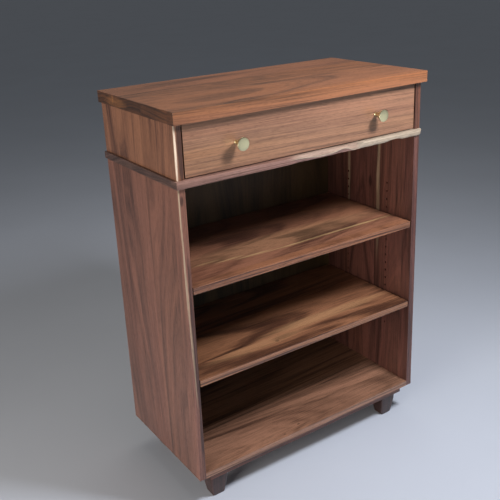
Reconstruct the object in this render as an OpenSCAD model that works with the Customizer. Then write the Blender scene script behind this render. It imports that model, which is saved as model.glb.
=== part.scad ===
// Small walnut bookcase: a drawer case on top of a lower case with two adjustable shelves.
// Millimetres. +Z up, front towards -Y. Origin on the floor, under the centre of the whole object.

/* [Case] */
// Width over the outer faces of the side panels
case_w = 768; // [600:1:1000]
// Depth of the side panels, front edge to back edge
case_d = 381; // [300:1:480]
// Thickness of the side panels
side_t = 19; // [17:0.5:25]
// Height of the lower side panels
lower_h = 800; // [640:1:1000]
// Height of the drawer case's side panels
upper_h = 130; // [120:1:200]
// Thickness of the bottom board
bottom_t = 16; // [14:0.5:25]
// Thickness of the back panels
back_t = 6; // [4:0.5:9]
// Width of the rabbet that holds a back panel
rabbet_w = 9.5; // [8:0.5:11]
// Gap around a back panel in its rabbets
back_gap = 0.5; // [0.2:0.1:1.5]

/* [Top board] */
// Thickness of the top board
top_t = 29.5; // [24:0.5:40]
// How far the top stands past the sides
top_over_side = 6.5; // [6:0.5:40]
// How far the top stands past the front edges
top_over_front = 16.5; // [5:0.5:28]
// How far the top stands past the back edges
top_over_back = 4; // [0:0.5:20]

/* [Divider board] */
// Thickness of the live-edge board between the two cases
divider_t = 18; // [16:0.5:30]
// How far it stands past the left side
divider_over_left = 6; // [0:0.5:6]
// How far it stands past the right side
divider_over_right = 1.5; // [0:0.5:6]
// How far its sawn front edge stands past the sides
divider_over_front = 10; // [2:0.5:20]
// Wander of its natural edge, in and out
live_wave = 1.2; // [0:0.1:1.5]

/* [Shelves] */
// Thickness of a shelf
shelf_t = 19; // [16:0.5:25]
// Gap between a shelf's end and the side panel
shelf_gap = 3; // [1:0.5:4]
// How far a shelf's front edge sits behind the sides' front edges
shelf_setback = 1; // [0:0.5:20]
// Gap between a shelf and the back panel
shelf_back_gap = 3; // [1:0.5:10]
// Diameter of a shelf pin
pin_d = 6.35; // [5:0.05:7]
// How deep a pin sits in the side panel
pin_in_side = 10; // [8:0.5:12]
// How far a pin stands out of the side panel
pin_out = 9; // [8:0.5:10]
// Distance from one pin hole to the next
hole_pitch = 25.4; // [25:0.1:40]
// Height of the lowest pin hole above the bottom board
hole_first = 167; // [120:1:200]
// Least distance from the highest pin hole to the divider board
hole_margin_top = 155; // [100:1:200]
// Distance of the front row of holes from the sides' front edges
hole_front = 103; // [40:1:130]
// Distance of the back row of holes from the back panel
hole_back = 100; // [40:1:130]
// How many holes in from the end of its row each shelf rests
shelf_from_end = 4; // [1:1:5]

/* [Drawer] */
// Thickness of the drawer's show front
front_t = 19; // [16:0.5:22]
// How far the show front sits behind the sides' front edges
front_inset = 1; // [0:0.5:4]
// Gap at each end of the show front
front_gap_side = 4; // [2:0.5:6]
// Gap above and below the show front
front_gap_edge = 3; // [2:0.5:6]
// Thickness of the drawer box's walls
box_t = 12; // [10:0.5:16]
// Height of the drawer box's walls
box_h = 100; // [70:1:100]
// Height of the drawer box above the divider board
box_lift = 12; // [6:0.5:14]
// Thickness of the drawer's bottom
box_bottom_t = 6; // [4:0.5:8]
// Height of the drawer's bottom above the lower edge of the box
box_bottom_lift = 6; // [5:0.5:12]
// Width of a drawer slide, side panel to drawer box
slide_w = 12.7; // [12.5:0.1:13]
// Height of a drawer slide
slide_h = 45; // [40:0.5:50]

/* [Knobs] */
// Diameter of a knob's face
knob_d = 32; // [24:0.5:40]
// Length of a knob, drawer front to face
knob_l = 32; // [26:0.5:40]
// Diameter of a knob's neck
knob_neck_d = 10; // [9:0.5:14]
// Diameter of a knob's base
knob_base_d = 12; // [11:0.5:18]
// How far the knobs sit below the middle of the drawer front
knob_drop = 1.5; // [0:0.5:10]
// Distance between the two knobs
knob_spacing = 440; // [200:1:500]

/* [Base] */
// Height of a foot
foot_h = 77; // [50:1:120]
// Width of a foot at its top
foot_top_w = 54; // [44:0.5:64]
// Width of a foot at the floor
foot_floor_w = 35; // [25:0.5:43]
// Distance of a foot's centre from the outer face of the side
foot_in_x = 72; // [60:1:100]
// Distance of a foot's centre from the sides' front or back edge
foot_in_y = 50; // [46:1:70]
// Thickness of a base rail
rail_t = 19; // [16:0.5:30]
// Width of a base rail, front to back
rail_w = 82; // [66:1:90]
// Distance of a base rail's end from the outer face of the side
rail_in_x = 37; // [10:1:38]

/* [Joinery] */
// Diameter of a dowel
dowel_d = 8; // [6:0.5:10]
// How deep a dowel sits in a board
dowel_in = 20; // [12:0.5:24]
// Distance of the outer dowels from the front and back edges
dowel_edge = 60; // [30:1:90]
// Clearance around a dowel, pin, bolt or screw, on the radius
fit_gap = 0.1; // [0.05:0.01:0.2]

/* [Hidden] */
$fn = 48;
eps = 1;                                  // how far a cut runs past the face that it leaves

// Where the case stands
x_out = case_w / 2;                       // outer face of the right side
x_in = x_out - side_t;                    // inner face of the right side
front_reach = max(knob_l - front_inset, top_over_front, divider_over_front + 2 * live_wave);
y_front = (front_reach - case_d - top_over_back) / 2;
y_back = y_front + case_d;
y_panel = y_back - back_t;                // inner face of the back panels
z_rail = foot_h;
z_case = z_rail + rail_t;                 // underside of the bottom board and the sides
z_floor_in = z_case + bottom_t;           // upper face of the bottom board
z_div = z_case + lower_h;
z_upper = z_div + divider_t;
z_top = z_upper + upper_h;

// Shelves and their pin holes
hole_count = floor((lower_h - bottom_t - hole_first - hole_margin_top) / hole_pitch) + 1;
function hole_z(i) = z_floor_in + hole_first + i * hole_pitch;
hole_ys = [y_front + hole_front, y_panel - hole_back];
hole_end_gap = 0.5;                       // air behind a seated pin
groove_clear = 0.5;                       // play of a pin in a shelf's end groove
groove_h = pin_d + groove_clear;
groove_deep = pin_out - shelf_gap + 2;
groove_y0 = hole_ys[0] - pin_d / 2 - groove_clear / 2;
seat_gap = 0.05;                          // air between a pin and the roof of its groove
shelf_y0 = y_front + shelf_setback;
shelf_y1 = y_panel - shelf_back_gap;
lower_shelf_z = hole_z(shelf_from_end);
upper_shelf_z = hole_z(hole_count - 1 - shelf_from_end);

// Drawer
front_y0 = y_front + front_inset;
front_y1 = front_y0 + front_t;
slide_back_gap = 3;
slide_start = 2;                          // air between the show front and the slides
slide_step = 50;                          // slides come in lengths of whole steps
slide_l = slide_step * floor((y_panel - slide_back_gap - front_y1 - slide_start + 1) / slide_step);
slide_y0 = front_y1 + slide_start;
slide_z = z_upper + upper_h / 2;
box_short = 20;                           // how much shorter the box is than its slides
box_y0 = front_y1;
box_y1 = box_y0 + slide_l - box_short;
box_x = x_in - slide_w;                   // outer face of the right box side
box_xi = box_x - box_t;
box_z0 = z_upper + box_lift;
box_z1 = box_z0 + box_h;
groove_in = box_t / 2;                    // how deep the drawer's bottom sits in the box walls
panel_gap = 0.2;
knob_z = z_upper + upper_h / 2 - knob_drop;

// Drawer slide channels, each nested in the next
sheet_t = 1.2;
ball_gap = 1.4;
case_flange = 9;
middle_web = 4.6;
middle_flange = 6.3;
drawer_flange = 5.2;
middle_h = slide_h - 2 * (sheet_t + ball_gap);
inner_h = middle_h - 2 * (sheet_t + ball_gap);

// Fasteners
dowel_ys = [y_front + dowel_edge, (y_front + y_back) / 2, y_back - dowel_edge];
dowel_x = x_out - side_t / 2;
dowel_in_side = 12;
dowel_in_bottom = 22;
dowel_in_top = 18;
slide_screw_d = 3.5;
slide_screw_l = 10;
slide_screw_ys = [slide_y0 + 35, slide_y0 + slide_l / 2 - 10, slide_y0 + slide_l - 60];
drawer_screw_ys = [slide_y0 + 20, slide_y0 + slide_l / 2, slide_y0 + slide_l - 50];
pan_head_h = 1.8;
knob_bolt_d = 4;
knob_bolt_in = 10;                        // how far the bolt screws into the knob
knob_bolt_head_h = 2.6;
front_screw_d = 4;
front_screw_in = 13;                      // how far the screw bites into the show front
front_screw_x = box_xi - 50;
front_screw_edge = 22;
rail_screw_d = 4.5;
rail_screw_in = 11;
rail_screws_n = 4;
back_screw_d = 3;
back_screw_in = 10;
back_screw_edge = 40;                     // from the end of a back panel to its first screw
back_screw_rows = 5;
foot_bolt_d = 8;
foot_bolt_in = 30;
foot_bolt_up = 16;
foot_steps = 8;                           // flats along the curve of a foot

walnut = "#7d5740";
walnut_dark = "#5e3f30";
walnut_light = "#a07a5c";
sapwood = "#b89d80";
ply = "#3b2c20";
maple = "#c9ad84";
brass = "#cfc38a";
steel = "#9aa0a6";

// A block from one corner to the other
module block(a, b) translate(a) cube(b - a);

// What stands at both ends of the case, drawn as for the right end
module both_ends() {
    children();
    mirror([1, 0, 0]) children();
}

// A round bar or hole along an axis, from a point
module bar_x(p, d, l) translate(p) rotate([0, 90, 0]) cylinder(d = d, h = l);
module bar_z(p, d, l) translate(p) cylinder(d = d, h = l);

// A countersunk screw along +Z with its head's flat face at the origin
module flat_screw(d, l, grow = 0) {
    cylinder(d = d + 2 * grow, h = l + grow);
    translate([0, 0, -grow]) cylinder(d1 = 2 * d + 2 * grow, d2 = d + 2 * grow, h = d / 2 + grow);
    if (grow > 0) translate([0, 0, -eps]) cylinder(d = 2 * d + 2 * grow, h = eps);
}

// A pan head screw along +Z, its head sitting on the face at the origin
module pan_screw(d, l, head_h, grow = 0) {
    cylinder(d = d + 2 * grow, h = l + grow);
    translate([0, 0, -head_h]) cylinder(d = 1.8 * d, h = head_h);
}

// ---- Case ----

module top_board() color(walnut) difference() {
    block([-x_out - top_over_side, y_front - top_over_front, z_top],
          [x_out + top_over_side, y_back + top_over_back, z_top + top_t]);
    top_dowel_set(fit_gap);
}

// Side panel of the drawer case, right hand
module upper_side() difference() {
    block([x_in, y_front, z_upper], [x_out, y_back, z_top]);
    block([x_in - eps, y_panel, z_upper - eps], [x_in + rabbet_w, y_back + eps, z_top + eps]);
    divider_dowel_set(fit_gap);
    top_dowel_set(fit_gap);
    slide_case_screw_set(fit_gap);
    back_screw_set(fit_gap);
}

module upper_left_side() color(walnut) mirror([1, 0, 0]) upper_side();
module upper_right_side() color(walnut) upper_side();

// Wander of the live edge at a share u of the board's length: none at the left, full at the right
edge_steps = 48;
function live_part(u) = min(1, max(0, (u - 0.3) * 3));
function live_edge(u) = live_wave * live_part(u) * (sin(760 * u) + 0.45 * sin(1900 * u + 40));

module divider_board() {
    x0 = -x_out - divider_over_left;
    x1 = x_out + divider_over_right;
    edge = [for (i = [0 : edge_steps]) let (u = i / edge_steps)
        [x0 + u * (x1 - x0), y_front - divider_over_front + live_edge(u)]];
    color(sapwood) difference() {
        translate([0, 0, z_div]) linear_extrude(divider_t)
            polygon(concat(edge, [[x1, y_back], [x0, y_back]]));
        divider_dowel_set(fit_gap);
    }
}

// Side panel of the lower case, right hand
module lower_side() difference() {
    block([x_in, y_front, z_case], [x_out, y_back, z_div]);
    block([x_in - eps, y_panel, z_case - eps], [x_in + rabbet_w, y_back + eps, z_div + eps]);
    for (y = hole_ys, i = [0 : hole_count - 1])
        bar_x([x_in - eps, y, hole_z(i)], pin_d + 2 * fit_gap, pin_in_side + hole_end_gap + eps);
    divider_dowel_set(fit_gap);
    bottom_dowel_set(fit_gap);
    back_screw_set(fit_gap);
}

module lower_left_side() color(walnut) mirror([1, 0, 0]) lower_side();
module lower_right_side() color(walnut_dark) lower_side();

module bottom_board() color(walnut) difference() {
    block([-x_in, y_front, z_case], [x_in, y_panel, z_floor_in]);
    bottom_dowel_set(fit_gap);
    rail_screw_set(fit_gap);
    back_screw_set(fit_gap);
}

// Back panel between two heights, resting in the sides' rabbets
module back_panel(z0, z1) color(ply) difference() {
    block([-x_in - rabbet_w + back_gap, y_panel, z0], [x_in + rabbet_w - back_gap, y_back, z1]);
    back_screw_set(fit_gap);
}

module upper_back() back_panel(z_upper + back_gap, z_top - back_gap);
module lower_back() back_panel(z_case, z_div - back_gap);

// ---- Shelves ----

// Middle of the thickness of a shelf whose grooves hang on pins at height z
function shelf_mid(z) = z + pin_d / 2 + seat_gap - groove_h / 2;

// Shelf with a stopped groove in each end, open at the back
module shelf(z) color(walnut) difference() {
    mid = shelf_mid(z);
    half = shelf_t / 2;
    block([-x_in + shelf_gap, shelf_y0, mid - half], [x_in - shelf_gap, shelf_y1, mid + half]);
    both_ends() block([x_in - shelf_gap - groove_deep, groove_y0, mid - groove_h / 2],
                      [x_in, shelf_y1 + eps, mid + groove_h / 2]);
}

// Four pins at height z
module pins(z) color(steel) both_ends() for (y = hole_ys)
    bar_x([x_in - pin_out, y, z], pin_d, pin_out + pin_in_side);

module shelf_upper() shelf(upper_shelf_z);
module shelf_lower() shelf(lower_shelf_z);
module shelf_upper_pins() pins(upper_shelf_z);
module shelf_lower_pins() pins(lower_shelf_z);

// ---- Drawer ----

module drawer_front() color(walnut_light) difference() {
    block([-x_in + front_gap_side, front_y0, z_upper + front_gap_edge],
          [x_in - front_gap_side, front_y1, z_top - front_gap_edge]);
    knob_screw_set(fit_gap);
    front_screw_set(fit_gap);
}

// The drawer's bottom, grown where it cuts its groove
module bottom_panel(grow) {
    deep = groove_in - panel_gap + grow;
    block([-box_xi - deep, box_y0 + box_t - deep, box_z0 + box_bottom_lift - grow],
          [box_xi + deep, box_y1 - box_t + deep, box_z0 + box_bottom_lift + box_bottom_t + grow]);
}

module box_wall(y) color(maple) difference() {
    block([-box_xi, y, box_z0], [box_xi, y + box_t, box_z1]);
    bottom_panel(panel_gap);
    knob_screw_set(fit_gap);
    front_screw_set(fit_gap);
}

module drawer_box_front() box_wall(box_y0);
module drawer_back() box_wall(box_y1 - box_t);

module box_side() color(maple) difference() {
    block([box_xi, box_y0, box_z0], [box_x, box_y1, box_z1]);
    bottom_panel(panel_gap);
    slide_drawer_screw_set(fit_gap);
}

module drawer_left_side() mirror([1, 0, 0]) box_side();
module drawer_right_side() box_side();
module drawer_bottom() color(maple) bottom_panel(0);

// Knob profile: a small base and a trumpet flare to a slightly domed face
flare_from = 0.12;                        // where the flare starts, as a share of the length
flare_to = 0.88;                          // where it meets the rim
flare_power = 1.2;                        // 1 is a plain cone, more is a later flare
rim_step = 0.6;                           // small step between the flare and the rim
rim_d = 2;                                // thickness of the rim
face_step = 0.8;                          // width of the rim's rounded corner
dome_h = 1.2;                             // rise of the face's dome
knob_steps = 10;
function flare_r(t) =
    knob_neck_d / 2 + (knob_d / 2 - rim_step - knob_neck_d / 2) * pow(t, flare_power);
function dome_z(t) = knob_l - dome_h * t * t;

module knob(x) color(brass) translate([x, front_y0, knob_z]) rotate([90, 0, 0]) difference() {
    rotate_extrude() polygon(concat(
        [[0, 0], [knob_base_d / 2, 0], [knob_base_d / 2, 1.5], [knob_neck_d / 2, 3]],
        [for (i = [0 : knob_steps]) let (t = i / knob_steps)
            [flare_r(t), knob_l * (flare_from + (flare_to - flare_from) * t)]],
        [[knob_d / 2, knob_l * flare_to + rim_step], [knob_d / 2, knob_l * flare_to + rim_d]],
        [for (i = [0 : knob_steps - 1]) let (t = 1 - i / knob_steps)
            [t * (knob_d / 2 - face_step), dome_z(t)]],
        [[0, knob_l]]));
    translate([0, 0, -eps]) cylinder(d = knob_bolt_d + 2 * fit_gap, h = knob_bolt_in + eps + fit_gap);
}

module knob_left() knob(-knob_spacing / 2);
module knob_right() knob(knob_spacing / 2);

// ---- Drawer slides ----

// A channel lying along Y: web at x, flanges standing towards dir, h high
module channel(x, dir, flange, h) translate([x, slide_y0, slide_z]) mirror([dir > 0 ? 0 : 1, 0, 0])
    difference() {
        block([0, 0, -h / 2], [flange, slide_l, h / 2]);
        block([sheet_t, -eps, -h / 2 + sheet_t], [flange + eps, slide_l + eps, h / 2 - sheet_t]);
    }

module slide_case() color(steel) difference() {
    channel(x_in, -1, case_flange, slide_h);
    slide_case_screw_set(fit_gap);
}
module slide_middle() color(steel) channel(x_in - middle_web, -1, middle_flange, middle_h);
module slide_drawer() color(steel) difference() {
    channel(box_x, 1, drawer_flange, inner_h);
    slide_drawer_screw_set(fit_gap);
}

module slide_case_left() mirror([1, 0, 0]) slide_case();
module slide_case_right() slide_case();
module slide_middle_left() mirror([1, 0, 0]) slide_middle();
module slide_middle_right() slide_middle();
module slide_drawer_left() mirror([1, 0, 0]) slide_drawer();
module slide_drawer_right() slide_drawer();

// ---- Base ----

module rail(y) color(walnut_dark) difference() {
    block([-x_out + rail_in_x, y - rail_w / 2, z_rail], [x_out - rail_in_x, y + rail_w / 2, z_case]);
    foot_bolt_set(fit_gap);
    rail_screw_set(fit_gap);
}

foot_ys = [y_front + foot_in_y, y_back - foot_in_y];
module base_rail_front() rail(foot_ys[0]);
module base_rail_back() rail(foot_ys[1]);

// Half width of a foot at a share t of its height: a gentle outward curve
function foot_r(t) = (foot_floor_w + (foot_top_w - foot_floor_w) * sin(90 * t)) / 2;
foot_side = [for (i = [0 : foot_steps]) [foot_r(i / foot_steps), foot_h * i / foot_steps]];
foot_outline = concat(foot_side, [for (i = [foot_steps : -1 : 0]) [-foot_side[i][0], foot_side[i][1]]]);

module foot(x, y) color(walnut_dark) difference() {
    translate([x, y, 0]) intersection() {
        rotate([90, 0, 0]) linear_extrude(foot_top_w + 2 * eps, center = true) polygon(foot_outline);
        rotate([90, 0, 90]) linear_extrude(foot_top_w + 2 * eps, center = true) polygon(foot_outline);
    }
    foot_bolt_set(fit_gap);
}

foot_x = x_out - foot_in_x;
module foot_front_left() foot(-foot_x, foot_ys[0]);
module foot_front_right() foot(foot_x, foot_ys[0]);
module foot_back_left() foot(-foot_x, foot_ys[1]);
module foot_back_right() foot(foot_x, foot_ys[1]);

// ---- Fasteners: each set is drawn as solids with grow 0, and cut as holes with a clearance ----

module divider_dowel_set(grow) both_ends() for (y = dowel_ys)
    bar_z([dowel_x, y, z_div - dowel_in - grow], dowel_d + 2 * grow, 2 * (dowel_in + grow) + divider_t);

module top_dowel_set(grow) both_ends() for (y = dowel_ys)
    bar_z([dowel_x, y, z_top - dowel_in - grow], dowel_d + 2 * grow, dowel_in + dowel_in_top + 2 * grow);

module bottom_dowel_set(grow) both_ends() for (y = dowel_ys)
    bar_x([x_in - dowel_in_bottom - grow, y, z_case + bottom_t / 2], dowel_d + 2 * grow,
          dowel_in_bottom + dowel_in_side + 2 * grow);

module slide_case_screw_set(grow) both_ends() for (y = slide_screw_ys)
    translate([x_in - sheet_t, y, slide_z]) rotate([0, 90, 0])
        pan_screw(slide_screw_d, slide_screw_l + sheet_t, pan_head_h, grow);

module slide_drawer_screw_set(grow) both_ends() for (y = drawer_screw_ys)
    translate([box_x + sheet_t, y, slide_z]) rotate([0, -90, 0])
        pan_screw(slide_screw_d, slide_screw_l + sheet_t, pan_head_h, grow);

module knob_screw_set(grow) both_ends()
    translate([knob_spacing / 2, box_y0 + box_t, knob_z]) rotate([90, 0, 0])
        pan_screw(knob_bolt_d, box_t + front_t + knob_bolt_in - 1, knob_bolt_head_h, grow);

module front_screw_set(grow) both_ends() for (z = [box_z0 + front_screw_edge, box_z1 - front_screw_edge])
    translate([front_screw_x, box_y0 + box_t, z]) rotate([90, 0, 0])
        flat_screw(front_screw_d, box_t + front_screw_in, grow);

module rail_screw_set(grow) for (y = foot_ys, i = [1 : rail_screws_n])
    translate([foot_x * (2 * i / (rail_screws_n + 1) - 1), y, z_rail])
        flat_screw(rail_screw_d, rail_t + rail_screw_in, grow);

// Heights of the screws down the edges of the two back panels
lower_back_zs = [for (i = [0 : back_screw_rows - 1])
    z_floor_in + back_screw_edge + i * (lower_h - bottom_t - 2 * back_screw_edge) / (back_screw_rows - 1)];
upper_back_zs = [z_upper + back_screw_edge, z_top - back_screw_edge];

// One back panel screw, driven in from behind
module back_screw(x, z, grow) translate([x, y_back, z]) rotate([90, 0, 0])
    flat_screw(back_screw_d, back_t + back_screw_in, grow);

module back_screw_set(grow) {
    both_ends() for (z = concat(lower_back_zs, upper_back_zs)) back_screw(x_in + rabbet_w / 2, z, grow);
    for (x = [-x_in / 2, 0, x_in / 2]) back_screw(x, z_case + bottom_t / 2, grow);
}

module foot_bolt_set(grow) both_ends() for (y = foot_ys)
    bar_z([foot_x, y, z_rail - foot_bolt_in - grow], foot_bolt_d + 2 * grow,
          foot_bolt_in + foot_bolt_up + 2 * grow);

module divider_dowels() color(maple) divider_dowel_set(0);
module top_dowels() color(maple) top_dowel_set(0);
module bottom_dowels() color(maple) bottom_dowel_set(0);
module slide_case_screws() color(steel) slide_case_screw_set(0);
module slide_drawer_screws() color(steel) slide_drawer_screw_set(0);
module knob_screws() color(steel) knob_screw_set(0);
module drawer_front_screws() color(steel) front_screw_set(0);
module rail_screws() color(steel) rail_screw_set(0);
module back_screws() color(steel) back_screw_set(0);
module foot_bolts() color(steel) foot_bolt_set(0);

top_board();
upper_left_side();
upper_right_side();
divider_board();
lower_left_side();
lower_right_side();
bottom_board();
upper_back();
lower_back();
shelf_upper();
shelf_lower();
shelf_upper_pins();
shelf_lower_pins();
drawer_front();
drawer_box_front();
drawer_left_side();
drawer_right_side();
drawer_back();
drawer_bottom();
knob_left();
knob_right();
knob_screws();
drawer_front_screws();
slide_case_left();
slide_case_right();
slide_middle_left();
slide_middle_right();
slide_drawer_left();
slide_drawer_right();
slide_case_screws();
slide_drawer_screws();
base_rail_front();
base_rail_back();
foot_front_left();
foot_front_right();
foot_back_left();
foot_back_right();
foot_bolts();
rail_screws();
divider_dowels();
top_dowels();
bottom_dowels();
back_screws();
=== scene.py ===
import math

import bpy
import numpy as np
from mathutils import Matrix, Vector


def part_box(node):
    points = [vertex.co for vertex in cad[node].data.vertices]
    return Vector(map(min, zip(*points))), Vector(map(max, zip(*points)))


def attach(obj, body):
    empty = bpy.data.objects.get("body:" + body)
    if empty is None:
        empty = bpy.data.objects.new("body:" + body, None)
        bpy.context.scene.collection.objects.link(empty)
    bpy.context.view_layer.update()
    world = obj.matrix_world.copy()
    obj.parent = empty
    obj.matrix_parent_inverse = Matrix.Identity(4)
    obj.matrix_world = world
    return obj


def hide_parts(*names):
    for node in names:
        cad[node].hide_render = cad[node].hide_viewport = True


# Black walnut bookcase: drawer case over two adjustable shelves.
# Metres, +Z up, front towards -Y. Boards are named after the CAD nodes they dress.

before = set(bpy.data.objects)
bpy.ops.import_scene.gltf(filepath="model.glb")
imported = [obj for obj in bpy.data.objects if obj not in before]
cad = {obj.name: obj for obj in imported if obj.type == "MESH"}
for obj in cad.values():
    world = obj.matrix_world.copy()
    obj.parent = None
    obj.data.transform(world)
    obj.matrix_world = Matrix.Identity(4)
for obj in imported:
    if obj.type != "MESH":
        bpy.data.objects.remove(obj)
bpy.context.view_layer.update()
print("frame loaded:", len(cad), "nodes")


viewer = {
    "place": (-1.1464, -1.6294, 1.3950),
    "heading": 33.935,      # degrees from +Y towards +X
    "dip": 19.94,           # degrees below level
    "lean": -2.363,
    "lens": 54.395,
    "sensor": 36,
    "shift": (-0.0161, -0.0506),
}


def makeCamera(look):
    heading, dip, lean = (math.radians(look[k]) for k in ("heading", "dip", "lean"))
    ahead = Vector((math.sin(heading) * math.cos(dip), math.cos(heading) * math.cos(dip), -math.sin(dip)))
    right = Vector((math.cos(heading), -math.sin(heading), 0))
    up = right.cross(ahead)
    axes = Matrix((right * math.cos(lean) + up * math.sin(lean),
                   up * math.cos(lean) - right * math.sin(lean), -ahead)).transposed()
    data = bpy.data.cameras.new("viewer")
    data.sensor_width = look["sensor"]
    data.lens = look["lens"]
    data.shift_x, data.shift_y = look["shift"]
    camera = bpy.data.objects.new("viewer", data)
    camera.matrix_world = Matrix.Translation(look["place"]) @ axes.to_4x4()
    bpy.context.scene.collection.objects.link(camera)
    bpy.context.scene.camera = camera


studio = {
    "sky": "#d9dadd",
    "skyStrength": 0.16,
    "floor": {"colour": "#bcc5d1", "clouds": 1.7, "tones": (0.94, 1.04), "roughness": 0.55, "half": 90.0},
    # name: place, target, width, height, watts, colour
    "lamps": {
        "key": ((0.48, -1.0, 1.85), (0.0, -0.1, 0.65), 0.34, 0.34, 38, "#fbf9ff"),
        "fill": ((-2.25, -0.78, 0.72), (-0.2, 0.0, 0.65), 1.2, 1.0, 45, "#fff2e6"),
        "top": ((0.1, 0.4, 2.9), (0.0, 0.0, 0.9), 1.6, 1.6, 15, "#fff1e2"),
        "card": ((0.87, -1.36, 0.6), (0.05, -0.2, 0.97), 1.25, 0.5, 1.4, "#ffffff"),   # seen in the brass
    },
    "dimmed": {"key": 0.12},   # share of a lamp's power that shows in gloss
}


def linear(colour):
    parts = [int(colour[i:i + 2], 16) / 255 for i in (1, 3, 5)]
    return tuple(c / 12.92 if c < 0.04045 else ((c + 0.055) / 1.055) ** 2.4 for c in parts) + (1.0,)


# Adds one shader node: settings are its properties, inputs are links or plain values
def addNode(tree, kind, inputs=None, **settings):
    made = tree.nodes.new("ShaderNode" + kind)
    for name, value in settings.items():
        setattr(made, name, value)
    for key, value in (inputs or {}).items():
        if isinstance(value, bpy.types.Node):
            value = value.outputs[0]
        if isinstance(value, bpy.types.NodeSocket):
            tree.links.new(value, made.inputs[key])
        else:
            made.inputs[key].default_value = value
    return made


def addLamp(title, place, target, width, height, watts, colour, matt, gloss):
    lamp = bpy.data.lights.new(title, "AREA")
    lamp.shape = "RECTANGLE"
    lamp.size, lamp.size_y = width, height
    lamp.energy = watts
    lamp.color = linear(colour)[:3]
    holder = bpy.data.objects.new(title, lamp)
    aim = (Vector(target) - Vector(place)).to_track_quat("-Z", "Y")
    holder.matrix_world = Matrix.Translation(place) @ aim.to_matrix().to_4x4()
    holder.visible_camera = False
    holder.visible_diffuse = matt
    holder.visible_glossy = gloss
    bpy.context.scene.collection.objects.link(holder)


def makeStudio(plan):
    world = bpy.data.worlds.new("studio")
    bpy.context.scene.world = world
    world.use_nodes = True
    back = world.node_tree.nodes["Background"]
    back.inputs["Color"].default_value = linear(plan["sky"])
    back.inputs["Strength"].default_value = plan["skyStrength"]
    for name, (place, target, width, height, watts, colour) in plan["lamps"].items():
        # A dimmed lamp is two in one place: full power for matt light, less for gloss
        dimmed = plan["dimmed"].get(name)
        addLamp(name, place, target, width, height, watts, colour, True, dimmed is None)
        if dimmed is not None:
            addLamp(name + "Gloss", place, target, width, height, watts * dimmed, colour, False, True)

    # Painted concrete, nearly matt, with faint clouding
    ground = plan["floor"]
    material = bpy.data.materials.new("floorPaint")
    material.use_nodes = True
    tree = material.node_tree
    shader = tree.nodes["Principled BSDF"]
    place = addNode(tree, "TexCoord").outputs["Object"]
    clouds = addNode(tree, "TexNoise", {"Vector": place, "Scale": ground["clouds"], "Detail": 5.0})
    darkest, lightest = ground["tones"]
    tone = addNode(tree, "MapRange", {"Value": clouds, "To Min": darkest, "To Max": lightest})
    paint = addNode(tree, "Mix", {"Factor": 1.0, "A": linear(ground["colour"]), "B": tone},
                    data_type="RGBA", blend_type="MULTIPLY")
    tree.links.new(paint.outputs["Result"], shader.inputs["Base Color"])
    shader.inputs["Roughness"].default_value = ground["roughness"]
    half = ground["half"]
    mesh = bpy.data.meshes.new("floor")
    mesh.from_pydata([(-half, -half, 0), (half, -half, 0), (half, half, 0), (-half, half, 0)], [], [(0, 1, 2, 3)])
    mesh.materials.append(material)
    floor = bpy.data.objects.new("floor", mesh)
    bpy.context.scene.collection.objects.link(floor)


makeCamera(viewer)
bpy.context.scene.view_settings.view_transform = "Standard"
makeStudio(studio)
print("camera, lights and floor ready")


# Patterns of the wood in millimetres: (size along the grain, across, through), detail, roughness
figure = {
    "staveShift": 2300.0, "boardShift": 173.0,      # how far apart staves and boards lie along the log
    "drift": ((800, 140, 140), 1.0),
    "ripple": ((320, 36, 36), 2.0), "rippleDepth": 3.5,
    "pace": 0.045, "paceSpread": 7.0,               # some rings grew fast and some slowly
    "ringTones": ((0.12, 0.0), (0.5, 0.1), (0.84, 0.75), (0.93, 1.0)),    # early wood to late wood
    "band": ((1500, 17, 1), 4.0, 0.6),
    "thin": ((900, 5.5, 1), 3.0, 0.7),
    "warm": ((1500, 55, 1), 2.0),
    "fibre": ((150, 1.5, 1.5), 3.0, 0.65),
    "pore": ((15, 0.9, 0.9), 1.0),
    "cloud": ((240, 75, 75), 3.0),
    "tints": ((0.44, 0.66, "#fff0d8"), (0.56, 0.34, "#f6e6e6")),          # golden and purplish zones
    "poreTone": 0.62, "endTone": 0.42,              # what is left of the colour in a pore and on end grain
    "patchEdge": (1 / 190, 1 / 40, 1 / 40), "patchStray": 24,
}


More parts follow.
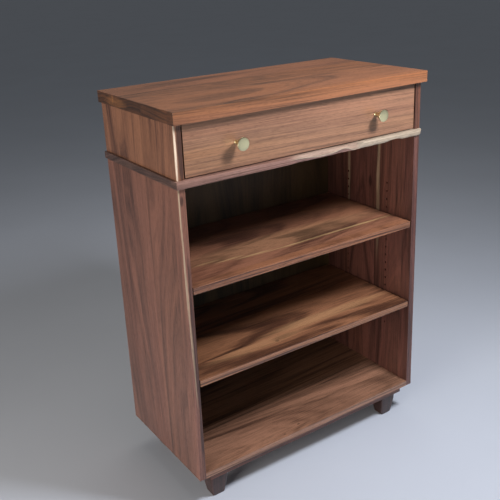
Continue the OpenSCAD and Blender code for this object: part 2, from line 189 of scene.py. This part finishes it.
# One node group draws the wood. Board coordinates are millimetres: X along the grain, Y across, Z through.
# A board's colour comes from its distance to the pith, so end grain and long grain meet at the edges.
def makeWoodGroup():
    tree = bpy.data.node_groups.new("walnutWood", "ShaderNodeTree")
    for name, kind in (("Board", "Vector"), ("Normal", "Vector"), ("Seed", "Float"), ("Stave", "Float"),
                       ("Pith", "Float"), ("Lean", "Float"), ("Gap", "Float"), ("Push", "Float"),
                       ("Sap", "Float"), ("Dark", "Float"), ("Contrast", "Float"), ("Fine", "Float"),
                       ("Mottle", "Float"), ("Wander", "Float"), ("Tint", "Float"),
                       ("Light wood", "Color"), ("Dark wood", "Color"), ("Sapwood", "Color")):
        tree.interface.new_socket(name, in_out="INPUT", socket_type="NodeSocket" + kind)
    for name, kind in (("Color", "Color"), ("Roughness", "Float"), ("Height", "Float")):
        tree.interface.new_socket(name, in_out="OUTPUT", socket_type="NodeSocket" + kind)
    given = tree.nodes.new("NodeGroupInput").outputs

    def calc(operation, *values):
        return addNode(tree, "Math", dict(enumerate(values)), operation=operation)

    def noise(place, sizes, detail, roughness=0.5):
        place = addNode(tree, "VectorMath", {0: place, 1: tuple(1 / size for size in sizes)}, operation="MULTIPLY")
        return addNode(tree, "TexNoise", {"Vector": place, "Scale": 1.0, "Detail": detail, "Roughness": roughness})

    def spread(value, low, high, toLow=0.0, toHigh=1.0):
        return addNode(tree, "MapRange", {"Value": value, "From Min": low, "From Max": high,
                                          "To Min": toLow, "To Max": toHigh})

    parts = addNode(tree, "SeparateXYZ", {0: given["Board"]})
    along, across, through = (parts.outputs[k] for k in "XYZ")

    # Glued staves: each has its own log, tone and place along the log
    inStaves = calc("ADD", calc("DIVIDE", across, given["Stave"]), given["Seed"])
    stave = calc("FLOOR", inStaves)
    luck = addNode(tree, "TexWhiteNoise", {"W": stave}, noise_dimensions="1D")
    luckParts = addNode(tree, "SeparateColor", {0: luck.outputs["Color"]})
    offCentre = calc("SUBTRACT", calc("SUBTRACT", inStaves, stave), luckParts.outputs["Red"])
    offCentre = calc("MULTIPLY", offCentre, given["Stave"])
    longWay = calc("ADD", along, calc("MULTIPLY_ADD", luck.outputs["Value"], figure["staveShift"],
                                      calc("MULTIPLY", given["Seed"], figure["boardShift"])))
    log = addNode(tree, "CombineXYZ", {0: longWay, 1: across, 2: through})

    # Growth rings about a slightly leaning, wandering pith
    depth = calc("SUBTRACT", through, given["Pith"])
    radius = calc("SQRT", calc("MULTIPLY_ADD", depth, depth, calc("MULTIPLY", offCentre, offCentre)))
    radius = calc("MULTIPLY_ADD", longWay, given["Lean"], radius)
    radius = calc("MULTIPLY_ADD", noise(log, *figure["drift"]), given["Wander"], radius)
    radius = calc("MULTIPLY_ADD", noise(log, *figure["ripple"]), figure["rippleDepth"], radius)
    radius = calc("ADD", radius, given["Push"])
    rings = addNode(tree, "TexNoise", {"W": calc("MULTIPLY", radius, figure["pace"]), "Scale": 1.0,
                                         "Detail": 2.0}, noise_dimensions="1D")
    rings = calc("MULTIPLY_ADD", rings, figure["paceSpread"], calc("DIVIDE", radius, given["Gap"]))
    ringLuck = addNode(tree, "TexWhiteNoise", {"W": calc("FLOOR", rings)}, noise_dimensions="1D")
    late = addNode(tree, "ValToRGB", {0: calc("FRACT", rings)})
    tones = late.color_ramp
    tones.elements[0].color = (0.3, 0.3, 0.3, 1)
    tones.elements[1].color = (0.35, 0.35, 0.35, 1)
    for place, tone in figure["ringTones"]:
        tones.elements.new(place).color = (tone, tone, tone, 1)
    late = calc("MULTIPLY_ADD", calc("MULTIPLY", late, ringLuck), 1.0, -0.2)

    # Bands that follow the rings, thin lines, long fibres, short dark pores and slow clouding
    ringPlace = addNode(tree, "CombineXYZ", {0: longWay, 1: radius})
    band = noise(ringPlace, *figure["band"])
    thin = noise(ringPlace, *figure["thin"])
    warm = noise(ringPlace, *figure["warm"])
    fibre = noise(log, *figure["fibre"])
    pore = spread(noise(log, *figure["pore"]), 0.56, 0.72)
    cloud = noise(log, *figure["cloud"])

    # Share of dark wood at a point: broad figure first, then the fine lines
    broad = calc("MULTIPLY_ADD", late, 0.45, spread(band, 0.32, 0.68, -0.32, 0.32))
    broad = calc("ADD", broad, spread(luckParts.outputs["Green"], 0, 1, -0.12, 0.12))
    broad = calc("MULTIPLY", broad, given["Contrast"])
    fine = calc("ADD", spread(thin, 0.34, 0.66, -0.46, 0.46), spread(fibre, 0.34, 0.66, -0.34, 0.34))
    darkShare = calc("MULTIPLY_ADD", fine, given["Fine"], broad)
    darkShare = calc("MULTIPLY_ADD", spread(cloud, 0.3, 0.7, -0.14, 0.14), given["Mottle"], darkShare)
    darkShare = calc("ADD", calc("ADD", darkShare, 0.4), given["Dark"])
    darkShare = addNode(tree, "Clamp", {0: darkShare})
    wood = addNode(tree, "Mix", {"Factor": darkShare, "A": given["Light wood"], "B": given["Dark wood"]},
                   data_type="RGBA").outputs["Result"]
    for low, high, colour in figure["tints"]:
        part = calc("MULTIPLY", spread(warm, low, high), given["Tint"])
        wood = addNode(tree, "Mix", {"Factor": part, "A": wood, "B": linear(colour)},
                       data_type="RGBA", blend_type="MULTIPLY").outputs["Result"]
    sap = addNode(tree, "Mix", {"Factor": 1.0, "A": given["Sapwood"], "B": spread(darkShare, 0, 1, 1.08, 0.62)},
                  data_type="RGBA", blend_type="MULTIPLY").outputs["Result"]
    wood = addNode(tree, "Mix", {"Factor": given["Sap"], "A": wood, "B": sap}, data_type="RGBA").outputs["Result"]

    # Pores and end grain drink more oil and turn dark
    facing = addNode(tree, "SeparateXYZ", {0: given["Normal"]})
    endOn = spread(calc("ABSOLUTE", facing.outputs["X"]), 0.75, 0.98, 1.0, figure["endTone"])
    for tone in (spread(pore, 0, 1, 1.0, figure["poreTone"]), endOn):
        wood = addNode(tree, "Mix", {"Factor": 1.0, "A": wood, "B": tone},
                       data_type="RGBA", blend_type="MULTIPLY").outputs["Result"]

    out = tree.nodes.new("NodeGroupOutput").inputs
    tree.links.new(wood, out["Color"])
    rough = calc("MULTIPLY_ADD", pore, 0.18, spread(fibre, 0.3, 0.7, 0.38, 0.5))
    tree.links.new(rough.outputs[0], out["Roughness"])
    height = calc("MULTIPLY_ADD", pore, -1.0, calc("MULTIPLY", fibre, 0.35))
    tree.links.new(height.outputs[0], out["Height"])
    return tree


woodGroup = makeWoodGroup()

millimetres = 1000          # in one metre

plainWalnut = {
    "light": "#8c5f45", "dark": "#3f261d", "sap": "#c9a884",
    "grain": "XYZ",          # which axes run along, across and through the board
    "seed": 0.0, "stave": 130.0, "pith": -70.0, "lean": 0.02, "gap": 8.0,
    "contrast": 1.0, "fine": 1.0, "mottle": 1.0,   # broad bands, fine lines and clouding
    "wander": 42.0,          # how far the rings stray along a board
    "tint": 0.6,             # strength of the golden and purplish zones
    "oil": 0.4, "polish": 1.0,   # thin glossy film of cured oil; below 1 the wood is rubbed smoother
    "relief": 0.5,           # strength of the pores and raised grain
    # each patch in mm: middle (along, across, through), half sizes, strength
    "pale": [], "dim": [], "knots": [],
}


# How far inside a soft-edged patch a point lies, 0 to 1
def patch(tree, place, middle, halves, strength):
    wander = addNode(tree, "VectorMath", {0: place, 1: figure["patchEdge"]}, operation="MULTIPLY")
    wander = addNode(tree, "TexNoise", {"Vector": wander, "Scale": 1.0, "Detail": 4.0}).outputs["Color"]
    reach = (0, min(halves[1] * 2.2, figure["patchStray"]), min(halves[2] * 1.2, figure["patchStray"]))
    wander = addNode(tree, "VectorMath", {0: wander, 1: (-0.5, -0.5, -0.5)}, operation="ADD")
    wander = addNode(tree, "VectorMath", {0: wander, 1: reach}, operation="MULTIPLY")
    apart = addNode(tree, "VectorMath", {0: place, 1: middle}, operation="SUBTRACT")
    apart = addNode(tree, "VectorMath", {0: apart, 1: wander}, operation="ADD")
    apart = addNode(tree, "VectorMath", {0: apart, 1: tuple(1 / half for half in halves)}, operation="MULTIPLY")
    apart = addNode(tree, "VectorMath", {0: apart}, operation="LENGTH").outputs["Value"]
    return addNode(tree, "MapRange", {"Value": apart, "From Min": 0.6, "From Max": 1.25,
                                      "To Min": strength, "To Max": 0.0}, interpolation_type="SMOOTHSTEP")


# Oiled wood, satin: black walnut unless the settings say otherwise. The optional layer is an attribute that holds
# how pale a point is, for a piece that draws its own sapwood and painted light.
def timber(name, paleLayer=None, **settings):
    board = dict(plainWalnut, **settings)
    material = bpy.data.materials.new(name)
    material.use_nodes = True
    tree = material.node_tree
    shader = tree.nodes["Principled BSDF"]
    coords = addNode(tree, "TexCoord")
    place = addNode(tree, "VectorMath", {0: coords.outputs["Object"], 1: (millimetres,) * 3}, operation="MULTIPLY")
    place, facing = (addNode(tree, "SeparateXYZ", {0: source}) for source in (place, coords.outputs["Normal"]))
    place, facing = (addNode(tree, "CombineXYZ", {i: source.outputs[board["grain"][i]] for i in range(3)})
                     for source in (place, facing))
    amounts = {"pale": 0.0, "dim": 0.0, "knots": 0.0}
    for kind, joining in (("pale", "MAXIMUM"), ("dim", "ADD"), ("knots", "ADD")):
        for middle, halves, strength in board[kind]:
            part = patch(tree, place, middle, halves, strength)
            amounts[kind] = addNode(tree, "Math", {0: part, 1: amounts[kind]}, operation=joining)
    if paleLayer:
        drawn = addNode(tree, "Attribute", attribute_name=paleLayer).outputs["Fac"]
        amounts["pale"] = addNode(tree, "Math", {0: drawn, 1: amounts["pale"]}, operation="MAXIMUM")
    wood = addNode(tree, "Group", node_tree=woodGroup)
    for key, value in {"Board": place, "Normal": facing, "Seed": board["seed"], "Stave": board["stave"],
                       "Pith": board["pith"], "Lean": board["lean"], "Gap": board["gap"], "Push": amounts["knots"],
                       "Sap": amounts["pale"], "Dark": amounts["dim"], "Contrast": board["contrast"],
                       "Fine": board["fine"], "Mottle": board["mottle"], "Wander": board["wander"],
                       "Tint": board["tint"], "Light wood": linear(board["light"]),
                       "Dark wood": linear(board["dark"]), "Sapwood": linear(board["sap"])}.items():
        if isinstance(value, bpy.types.Node):
            tree.links.new(value.outputs[0], wood.inputs[key])
        else:
            wood.inputs[key].default_value = value
    tree.links.new(wood.outputs["Color"], shader.inputs["Base Color"])
    rough = addNode(tree, "Math", {0: wood.outputs["Roughness"], 1: board["polish"]}, operation="MULTIPLY")
    tree.links.new(rough.outputs[0], shader.inputs["Roughness"])
    bump = addNode(tree, "Bump", {"Height": wood.outputs["Height"], "Strength": board["relief"],
                                  "Distance": 0.0002})
    tree.links.new(bump.outputs["Normal"], shader.inputs["Normal"])
    shader.inputs["IOR"].default_value = 1.5
    shader.inputs["Coat Weight"].default_value = board["oil"]
    shader.inputs["Coat Roughness"].default_value = 0.24 * board["polish"]
    return material


def dress(name, material):
    cad[name].data.materials.clear()
    cad[name].data.materials.append(material)


# Weld the node's faces, merge the flat ones and round its arrises; arrisMaterial is the number of the
# material that the rounded strips take
def ease(name, radius, segments=4, arrisMaterial=0):
    piece = cad[name]
    weld = piece.modifiers.new("weld", "WELD")
    weld.merge_threshold = 0.00002
    flat = piece.modifiers.new("flat", "DECIMATE")
    flat.decimate_type = "DISSOLVE"
    flat.angle_limit = math.radians(1)
    bevel = piece.modifiers.new("arris", "BEVEL")
    bevel.width = radius
    bevel.segments = segments
    bevel.limit_method = "ANGLE"
    bevel.angle_limit = math.radians(40)
    bevel.material = arrisMaterial


boards = {
    "top_board": {"seed": 1.3, "stave": 128, "light": "#8c5e41", "dark": "#443024", "sap": "#e09a5e",
                  "pale": [((-394, 100, 1056), (14, 62, 13), 0.42), ((-394, 116, 1061), (14, 4, 14), 0.85)],
                  "dim": [((-60, 150, 1070), (330, 32, 60), 0.25), ((-392, -40, 1060), (8, 130, 30), 0.3)]},
    "upper_left_side": {"grain": "ZYX", "seed": 2.1, "stave": 132, "light": "#876049", "dark": "#402820",
                        "sap": "#e2cfb8",
                        "pale": [((980, -178, -384), (90, 5, 5), 0.95)],
                        "dim": [((980, -178, -371), (90, 6, 7), 0.8)]},
    # the right sides are drawn darker than the left: painted shade on their inner faces
    "upper_right_side": {"grain": "ZYX", "seed": 3.4, "stave": 132, "light": "#6a4436", "dark": "#38231b"},
    "lower_left_side": {"grain": "ZYX", "seed": 2.1, "stave": 132, "light": "#80594a", "dark": "#3e2820",
                        "sap": "#a8957c", "contrast": 0.6, "fine": 0.8,
                        "pale": [((850, -178, -383), (100, 5, 2.6), 0.85), ((700, -178, -381), (130, 5, 2.4), 0.8),
                                 ((560, -178, -378), (130, 5, 2), 0.75), ((430, -178, -375), (120, 5, 2), 0.6)],
                        "dim": [((865, -178, -377), (14, 6, 6), 0.6), ((450, -180, -368), (460, 6, 7), 0.75)]},
    # drawn darker than the left side: painted shade on its inner face
    "lower_right_side": {"grain": "ZYX", "seed": 5.2, "stave": 118, "light": "#714a41", "dark": "#36211d",
                         "sap": "#a08c74", "contrast": 0.8,
                         "pale": [((760, 95, 375), (170, 5, 60), 0.75), ((740, -37, 375), (240, 7, 60), 0.8)],
                         "dim": [((726, -5, 375), (20, 8, 60), 0.5), ((730, -115, 375), (70, 4, 60), 0.4),
                                 ((450, -180, 374), (460, 5, 12), 0.3)]},
    "bottom_board": {"seed": 6.1, "stave": 260, "light": "#9c7860", "dark": "#513b2e", "wander": 12.0,
                     "pith": -260.0, "contrast": 0.35, "fine": 1.3, "mottle": 0.6,
                     "dim": [((-40, -150, 112), (5, 3, 9), 0.8), ((-100, -166, 112), (4, 2.5, 9), 0.7)]},
    "shelf_upper": {"seed": 8.2, "stave": 124, "light": "#8e644d", "dark": "#432b23", "sap": "#b09468",
                    "contrast": 0.3, "wander": 10.0, "fine": 1.4, "mottle": 0.5,
                    "pale": [((140, -100, 640), (250, 4.5, 20), 0.75), ((-130, -92, 640), (60, 4.5, 20), 0.65),
                             ((-195, -78, 640), (50, 4.5, 20), 0.55), ((-255, -62, 640), (50, 4.5, 20), 0.45),
                             ((0, -45, 640), (350, 48, 20), 0.16)]},
    "shelf_lower": {"seed": 9.7, "stave": 150, "light": "#9a6e50", "dark": "#432b20",
                    "lean": 0.012, "wander": 15.0, "sap": "#b8946a", "contrast": 0.34, "fine": 1.4, "mottle": 0.6,
                    "pale": [((120, -90, 386), (240, 22, 20), 0.35), ((-150, -120, 386), (180, 18, 20), 0.25)],
                    "dim": [((-64, -118, 388), (38, 12, 9), 0.4), ((-90, -128, 388), (7, 5, 9), 0.6)]},
    "drawer_front": {"grain": "XZY", "seed": 10.3, "stave": 400, "light": "#936f56", "dark": "#5c4436",
                     "contrast": 0.45, "fine": 0.9, "wander": 14.0},
    "base_rail_front": {"seed": 11.1, "stave": 400, "light": "#6b4030", "dark": "#2e1b15"},
    "base_rail_back": {"seed": 11.8, "stave": 400, "light": "#6b4030", "dark": "#2e1b15"},
    # veneered panels, mottled, drawn almost black: painted shade deep inside the case
    "upper_back": {"grain": "ZXY", "seed": 7.1, "stave": 400, "light": "#594a30", "dark": "#16120c",
                   "contrast": 0.5, "fine": 0.4, "mottle": 3.2, "oil": 0.1},
    "lower_back": {"grain": "ZXY", "seed": 7.9, "stave": 400, "light": "#594a30", "dark": "#16120c",
                   "contrast": 0.5, "fine": 0.4, "mottle": 3.2, "oil": 0.1},
}
boardEase, drawerEase = 0.0015, 0.0008     # radius of the arrises, metres
rubbedArris = {"oil": 1.0, "polish": 0.5, "relief": 0.05}      # hands and cloths have polished the arrises
for name, settings in boards.items():
    dress(name, timber(name, **settings))
    cad[name].data.materials.append(timber(name + "Arris", **dict(settings, **rubbedArris)))
    ease(name, boardEase, arrisMaterial=1)
print("boards dressed:", len(boards))


# Maple, pale and plain, in clear satin: the drawer box and the dowels
maple = {"light": "#c4a67c", "dark": "#a18260", "stave": 400, "contrast": 0.5, "fine": 0.6, "tint": 0.3}
mapleParts = {"drawer_box_front": "XZY", "drawer_back": "XZY", "drawer_left_side": "YZX",
              "drawer_right_side": "YZX", "drawer_bottom": "XYZ",
              "top_dowels": "ZXY", "divider_dowels": "ZXY", "bottom_dowels": "XYZ"}
for number, (name, grain) in enumerate(mapleParts.items()):
    dress(name, timber(name, grain=grain, seed=20.3 + number, **maple))
    if name.startswith("drawer"):
        ease(name, drawerEase, segments=2)


# Bright zinc over rolled steel: blue-grey, faintly clouded, with fine drawing lines along the stroke
zinc = {"light": "#c6c9cd", "dark": "#8d9299", "smooth": 0.24, "worn": 0.46,
        "line": 0.4, "stretch": 60,          # drawing lines: width in mm, and how much longer than wide
        "clouds": 90.0, "scratch": 0.00005}


def makeZinc(look):
    material = bpy.data.materials.new("zincSteel")
    material.use_nodes = True
    tree = material.node_tree
    shader = tree.nodes["Principled BSDF"]
    place = addNode(tree, "TexCoord").outputs["Object"]
    fine = millimetres / look["line"]
    lines = addNode(tree, "VectorMath", {0: place, 1: (fine, fine / look["stretch"], fine)}, operation="MULTIPLY")
    lines = addNode(tree, "TexNoise", {"Vector": lines, "Scale": 1.0, "Detail": 3.0})
    clouds = addNode(tree, "TexNoise", {"Vector": place, "Scale": look["clouds"], "Detail": 4.0})
    both = addNode(tree, "Math", {0: lines, 1: clouds}, operation="ADD")
    share = addNode(tree, "MapRange", {"Value": both, "From Min": 0.7, "From Max": 1.3})
    metal = addNode(tree, "Mix", {"Factor": share, "A": linear(look["light"]), "B": linear(look["dark"])},
                    data_type="RGBA")
    tree.links.new(metal.outputs["Result"], shader.inputs["Base Color"])
    rough = addNode(tree, "MapRange", {"Value": both, "From Min": 0.6, "From Max": 1.4,
                                       "To Min": look["smooth"], "To Max": look["worn"]})
    tree.links.new(rough.outputs[0], shader.inputs["Roughness"])
    bump = addNode(tree, "Bump", {"Height": lines, "Strength": 0.3, "Distance": look["scratch"]})
    tree.links.new(bump.outputs["Normal"], shader.inputs["Normal"])
    shader.inputs["Metallic"].default_value = 1.0
    return material


zincSteel = makeZinc(zinc)
steelNodes = [name for name in cad if name.endswith(("screws", "bolts", "pins")) or name.startswith("slide_")]
for name in steelNodes:
    dress(name, zincSteel)
print("drawer box and steel dressed:", len(mapleParts) + len(steelNodes))


crispFrom = math.radians(38)     # corners sharper than this aren't smoothed


# A closed mesh from a grid of points: each row runs once round the piece, and the first and last rows are
# closed by fans of triangles to their middles
def gridPiece(name, points, body, node, material, attributes=None):
    rows, columns, _ = points.shape
    places = points.reshape(-1, 3)
    ends = [points[0].mean(0), points[-1].mean(0)]
    corners = np.arange(rows * columns).reshape(rows, columns)
    beside = np.roll(corners, -1, axis=1)
    sides = np.stack([corners[:-1], beside[:-1], beside[1:], corners[1:]], axis=-1).reshape(-1, 4)
    first = np.column_stack([np.full(columns, rows * columns), beside[0], corners[0]])
    last = np.column_stack([np.full(columns, rows * columns + 1), corners[-1], beside[-1]])
    mesh = bpy.data.meshes.new(name)
    mesh.from_pydata(np.vstack([places, ends]).tolist(), [], sides.tolist() + first.tolist() + last.tolist())
    mesh.shade_smooth()
    mesh.set_sharp_from_angle(angle=crispFrom)
    for key, values in (attributes or {}).items():
        layer = mesh.attributes.new(key, "FLOAT", "POINT")
        ended = np.concatenate([values.reshape(-1), [values[0].min(), values[-1].min()]])
        layer.data.foreach_set("value", ended.astype(np.float32))
    mesh.materials.append(material)
    piece = bpy.data.objects.new(name, mesh)
    bpy.context.scene.collection.objects.link(piece)
    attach(piece, body)
    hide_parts(node)


# 0 below low, 1 above high, and a smooth S between
def step(value, low, high):
    share = np.clip((value - low) / (high - low), 0, 1)
    return share * share * (3 - 2 * share)


# Divider board: sawn edge on the left that turns into the rounded bark edge towards the right
divider = {
    "arris": 0.0012, "columns": 560,
    "standsOut": 0.0098,         # in front of the sides
    "bark": (-0.085, -0.03),     # where the sawn edge gives way to the bark edge
    "ridgeAt": 0.62, "ridgeFall": 0.34,          # its height and how far it sinks, shares of the thickness
    "peak": 0.100, "humpHalf": 0.028,            # the ridge on the bark edge is highest here
    "runOut": (0.112, 0.147),    # it drops to the lower arris between these
    "lag": 0.02,                 # the section turns fully round this far after it
    "lean": 0.0045, "undercut": 0.0075,          # how far the edge falls back above and below the ridge
    "ridge": 0.0016,             # half width of the pale line along the ridge
    "hollow": (0.284, 0.030, 0.0045), "hollowDepth": 0.012,   # bark pocket underneath: middle, half length, height
    "waves": (61, 147), "waveDepth": 0.0006,     # slow unevenness above and below, radians a metre
    "sapEnds": (0.034, 0.014),   # the sapwood, and the painted light above the ridge, fade between these depths
    "end": 0.008,                # rounding of the right end
    # the sapwood colour also paints the light on the upward-facing slope above the ridge
    "light": "#8d6e64", "dark": "#4e3830", "sap": "#ada08c",
    "smudge": ((156, -186, 911), (13, 8, 3), 0.9),
}


# The section is carried along the board: the front edge falls back above and below a wandering ridge, and past
# the ridge it is one full round
def makeDivider(look):
    low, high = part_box("divider_board")
    thick = high.z - low.z
    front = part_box("lower_left_side")[0].y - look["standsOut"]
    x = np.linspace(low.x, high.x, look["columns"])
    bark = step(x, *look["bark"])
    past = step(x, look["peak"] + look["lag"], look["runOut"][1] + look["lag"])
    # Height of the ridge as a share of the thickness: sinks, then a hump, then drops to the lower arris
    hump = np.exp(-((x - look["peak"]) / look["humpHalf"]) ** 2)
    sinking = step(x, look["bark"][0] + look["lag"], 0.035)
    ridge = look["ridgeAt"] - look["ridgeFall"] * sinking + look["ridgeFall"] * hump
    ridge = ridge * (1 - step(x, *look["runOut"]))
    # Once round the section: back edge, top, front edge, underside
    z = np.concatenate([np.linspace(0, 1, 5)[:-1], np.ones(10), 1 - np.linspace(0, 1, 33)[1:-1], np.zeros(10)])
    back = np.concatenate([np.ones(4), 1 - np.linspace(0, 1, 10), np.zeros(31), np.linspace(0, 1, 10)])
    height, along = np.meshgrid(z, x)
    bark, past, ridge = (v[:, None] for v in (bark, past, ridge))
    above = np.clip((height - ridge) / (1 - ridge), 0, 1)
    below = np.clip((ridge - height) / np.maximum(ridge, 0.04), 0, 1)
    under = look["undercut"] * below ** 0.75 * np.minimum(ridge, 0.6)
    fall = bark * (1 - past) * (look["lean"] * above ** 1.3 + under)
    fall = fall + past * (0.6 * look["lean"] * height ** 4 + 0.6 * look["undercut"] * (1 - height) ** 2)
    slow, quick = look["waves"]
    uneven = np.sin(along * slow) * height + np.sin(along * quick + 1) * (1 - height)
    fall = fall + look["waveDepth"] * bark * uneven
    middle, half, tall = look["hollow"]
    pocket = tall / thick * (1 - ((along - middle) / half) ** 2)
    fall = fall + look["hollowDepth"] * step(pocket - height, -0.02, 0.06) * (pocket > 0)
    # Eased arrises, and the rounded right end
    near = np.clip(np.minimum(height, 1 - height) * thick / look["arris"], 0, 1)
    fall = fall + look["arris"] * (1 - np.sqrt(1 - (1 - near) ** 2))
    last = np.clip((along - high.x) / look["end"] + 1, 0, 1)
    fall = fall + look["end"] * (1 - np.sqrt(1 - last ** 2)) * 0.8
    y = front + fall + (high.y - front - fall) * back
    # Sapwood: a pale line on the ridge, strong past it, none deeper in the board; the weaker pale share above the
    # ridge is painted light on the upward-facing slope
    line = np.exp(-((height - ridge) * thick / look["ridge"]) ** 2)
    sap = bark * np.maximum(0.4 * np.minimum(above * 6, 1), np.maximum(line, 0.85 * past))
    sap = sap * step(y, front + look["sapEnds"][0], front + look["sapEnds"][1])
    wood = timber("liveEdge", paleLayer="sapwood", seed=4.4, stave=400, light=look["light"], dark=look["dark"],
                  sap=look["sap"], contrast=0.6, dim=[look["smudge"]])
    places = np.stack([along, y, low.z + height * thick], axis=-1)
    gridPiece("divider_live_edge", places, "case", "divider_board", wood, {"sapwood": sap})


makeDivider(divider)


# Trumpet knob: radii of base, neck and face, then shares of its length
knob = {"base": 0.006, "neck": 0.0048, "face": 0.0158, "flareFrom": 0.12, "flareTo": 0.88, "power": 1.2,
        "dome": 0.0007, "around": 72, "colour": "#ebe6bd",
        "baseRim": ((0.0003, -0.0003), (0.0008, 0.0), (0.0014, -0.0002)),   # distance out, change of radius
        "collar": (0.0026, 0.0003), "faceRim": 0.0002,
        "brush": (2500, 2500, 300),          # lines a metre: 0.4 mm wide and about 3 mm long
        "rough": (0.24, 0.36), "tones": (0.9, 1.08)}


# Brushed, clear-lacquered pale brass: a soft mirror with faint lines
def brass(look):
    material = bpy.data.materials.new("paleBrass")
    material.use_nodes = True
    tree = material.node_tree
    shader = tree.nodes["Principled BSDF"]
    place = addNode(tree, "TexCoord").outputs["Object"]
    stretched = addNode(tree, "VectorMath", {0: place, 1: look["brush"]}, operation="MULTIPLY")
    brushed = addNode(tree, "TexNoise", {"Vector": stretched, "Scale": 1.0, "Detail": 3.0})
    smoothest, roughest = look["rough"]
    rough = addNode(tree, "MapRange", {"Value": brushed, "To Min": smoothest, "To Max": roughest})
    tree.links.new(rough.outputs[0], shader.inputs["Roughness"])
    darkest, lightest = look["tones"]
    tint = addNode(tree, "MapRange", {"Value": brushed, "To Min": darkest, "To Max": lightest})
    metal = addNode(tree, "Mix", {"Factor": 1.0, "A": linear(look["colour"]), "B": tint},
                    data_type="RGBA", blend_type="MULTIPLY")
    tree.links.new(metal.outputs["Result"], shader.inputs["Base Color"])
    shader.inputs["Metallic"].default_value = 1.0
    return material


# Knob: a profile of distance from the drawer and radius, turned about the knob's axis
def makeKnob(side, look, material):
    low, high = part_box("knob_" + side)
    long = high.y - low.y
    middle = (low + high) / 2
    t = np.linspace(0, 1, 28)
    flare = look["neck"] + (look["face"] - look["neck"]) * t ** look["power"]
    reach = long * (look["flareFrom"] + (look["flareTo"] - look["flareFrom"]) * t)
    d = np.linspace(0, 1, 14)
    start, end, rim = long * look["flareTo"], long - look["dome"], look["faceRim"]
    # profile: base, neck and flare, rim, then the dome in to the middle
    outline = np.concatenate([
        [[out, look["base"] + change] for out, change in look["baseRim"]],
        [[look["collar"][0], look["neck"] + look["collar"][1]]],
        np.stack([reach, flare], 1),
        [[start + 0.0004, look["face"] + rim], [end - 0.0006, look["face"] + rim], [end - rim, look["face"]]],
        np.stack([long - look["dome"] * (1 - d) ** 2, (look["face"] - 3 * rim) * (1 - d) + rim], 1)])
    turn = np.linspace(0, 2 * np.pi, look["around"], endpoint=False)
    away, radius = outline[:, :1], outline[:, 1:]
    places = np.stack([middle.x + radius * np.cos(turn), high.y - away + 0 * turn,
                       middle.z + radius * np.sin(turn)], axis=-1)
    gridPiece("knob_turned_" + side, places, "drawer", "knob_" + side, material)


brassFinish = brass(knob)
for side in ("left", "right"):
    makeKnob(side, knob, brassFinish)


# Width at the top and at the floor; a higher corner power is squarer
foot = {"top": 0.054, "floor": 0.035, "cornerPower": 14, "rings": 22, "around": 72,
        "light": "#3f2621", "dark": "#241510"}


# Foot: a square with softened corners that swells upwards along a quarter sine
def makeFoot(name, look, material):
    low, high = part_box(name)
    middle = (low + high) / 2
    rise = np.concatenate([[0.0, 0.0006, 0.0014], np.linspace(0.004, high.z - 0.0012, look["rings"]),
                           [high.z - 0.0003, high.z]])
    half = (look["floor"] + (look["top"] - look["floor"]) * np.sin(np.pi / 2 * rise / high.z)) / 2
    shy = np.array([0.0012, 0.0004, 0] + [0] * look["rings"] + [0.0003, 0.001])     # eased rims
    turn = np.linspace(0, 2 * np.pi, look["around"], endpoint=False)
    power = look["cornerPower"]
    reach = (np.abs(np.cos(turn)) ** power + np.abs(np.sin(turn)) ** power) ** (-1 / power)
    ring = (half - shy)[:, None] * reach
    places = np.stack([middle.x + ring * np.cos(turn), middle.y + ring * np.sin(turn),
                       rise[:, None] + 0 * turn], axis=-1)
    gridPiece(name + "_shaped", places, "case", name, material)


for number, name in enumerate(("foot_front_left", "foot_front_right", "foot_back_left", "foot_back_right")):
    wood = timber(name, grain="ZYX", seed=12.1 + number * 0.7, stave=400, light=foot["light"], dark=foot["dark"])
    makeFoot(name, foot, wood)
print("divider, knobs and feet made")
